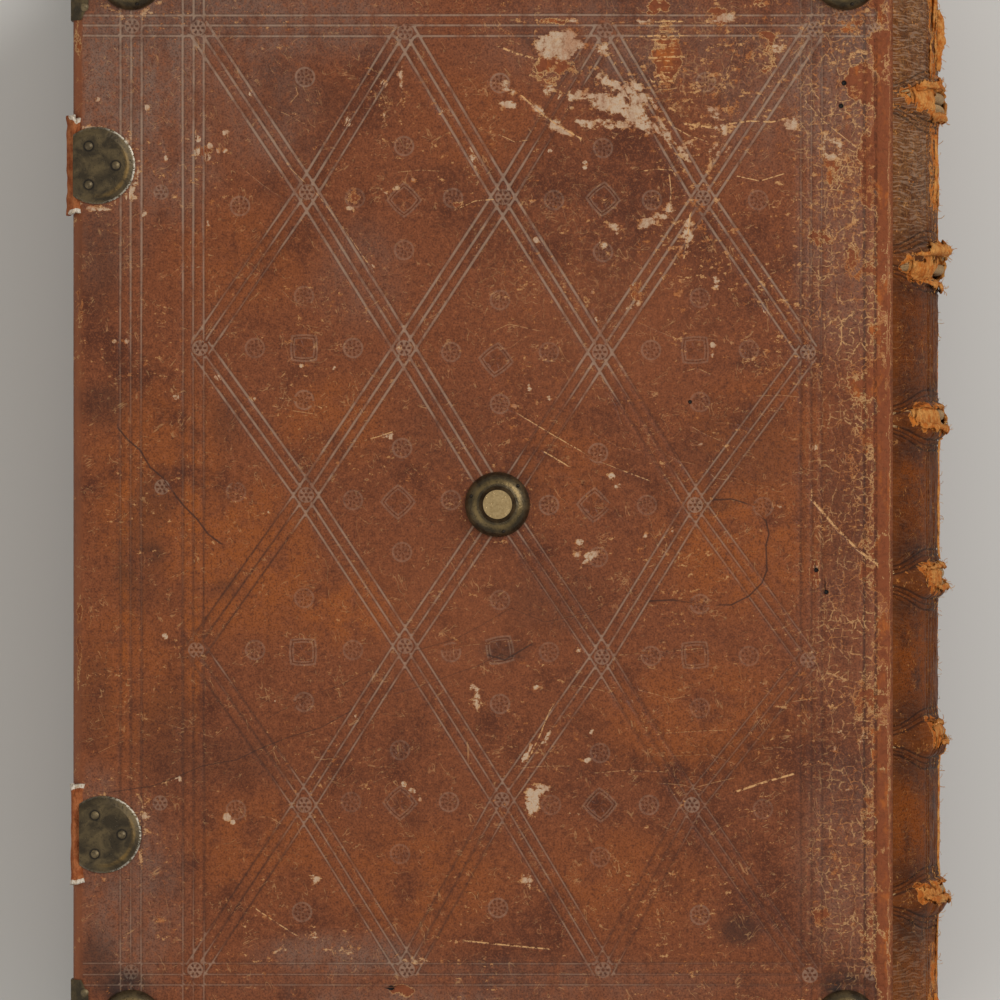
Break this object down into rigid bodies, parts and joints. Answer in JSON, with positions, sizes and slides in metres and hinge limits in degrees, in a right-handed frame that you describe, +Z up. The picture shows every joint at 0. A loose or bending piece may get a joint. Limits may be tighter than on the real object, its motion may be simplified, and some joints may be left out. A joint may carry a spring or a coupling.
{
  "type": "antique leather book",
  "caption": "Large old book in blind-tooled brown leather over bevelled wooden boards, with brass bosses, strap plates and corner guards and a rounded spine with raised bands.",
  "frame": {"origin": "centre of the front cover's centre boss, on the plane that the front bosses rest on", "axes": "+Z up through the back cover, +X from the fore-edge to the spine, +Y from tail to head"},
  "size_m": [0.32, 0.4236, 0.124],
  "materials": {
    "page_paper": "aged, slightly yellowed edges",
    "brown_leather": "tanned calf, blind tooled, worn and crackled",
    "tawed_leather": "torn strap leather, orange brown with a pale core",
    "board_wood": "split and planed hardwood",
    "cord_hemp": "twisted hemp cord",
    "lining_cloth": "coarse linen",
    "aged_brass": "dull patina, bright where rubbed"
  },
  "bodies": {
    "text_block": {"text_block": "page_paper", "spine_leather": "brown_leather", "spine_linings": "lining_cloth", "head_endband": "cord_hemp", "tail_endband": "cord_hemp", "sewing_support_1": "cord_hemp", "sewing_support_2": "cord_hemp", "sewing_support_3": "cord_hemp", "sewing_support_4": "cord_hemp", "sewing_support_5": "cord_hemp", "sewing_support_6": "cord_hemp"},
    "back_cover": {"back_board": "board_wood", "back_leather": "brown_leather", "back_pastedown": "page_paper", "back_board_slips": "cord_hemp", "back_board_pegs": "board_wood", "back_corner_guard_head": "aged_brass", "back_corner_guard_tail": "aged_brass", "back_guard_nails": "aged_brass", "back_boss_centre": "aged_brass", "back_boss_head_fore": "aged_brass", "back_boss_head_spine": "aged_brass", "back_boss_tail_fore": "aged_brass", "back_boss_tail_spine": "aged_brass", "strap_plate_head": "aged_brass", "strap_plate_tail": "aged_brass", "strap_plate_nails_head": "aged_brass", "strap_plate_nails_tail": "aged_brass", "strap_stub_head": "tawed_leather", "strap_stub_tail": "tawed_leather"},
    "front_cover": {"front_board": "board_wood", "front_leather": "brown_leather", "front_pastedown": "page_paper", "front_board_slips": "cord_hemp", "front_board_pegs": "board_wood", "front_corner_guard_head": "aged_brass", "front_corner_guard_tail": "aged_brass", "front_guard_nails": "aged_brass", "front_boss_centre": "aged_brass", "front_boss_head_fore": "aged_brass", "front_boss_head_spine": "aged_brass", "front_boss_tail_fore": "aged_brass", "front_boss_tail_spine": "aged_brass", "catch_plate_head": "aged_brass", "catch_plate_tail": "aged_brass", "catch_plate_nails_head": "aged_brass", "catch_plate_nails_tail": "aged_brass"}
  },
  "joints": [
    {"name": "back_cover_hinge", "type": "hinge", "parent": "text_block", "child": "back_cover", "pos_m": [0.1414, 0, 0.112], "axis": [0, 1, 0], "range_deg": [0, 180]},
    {"name": "front_cover_hinge", "type": "hinge", "parent": "text_block", "child": "front_cover", "pos_m": [0.1414, 0, 0.012], "axis": [0, -1, 0], "range_deg": [0, 180]}
  ]
}
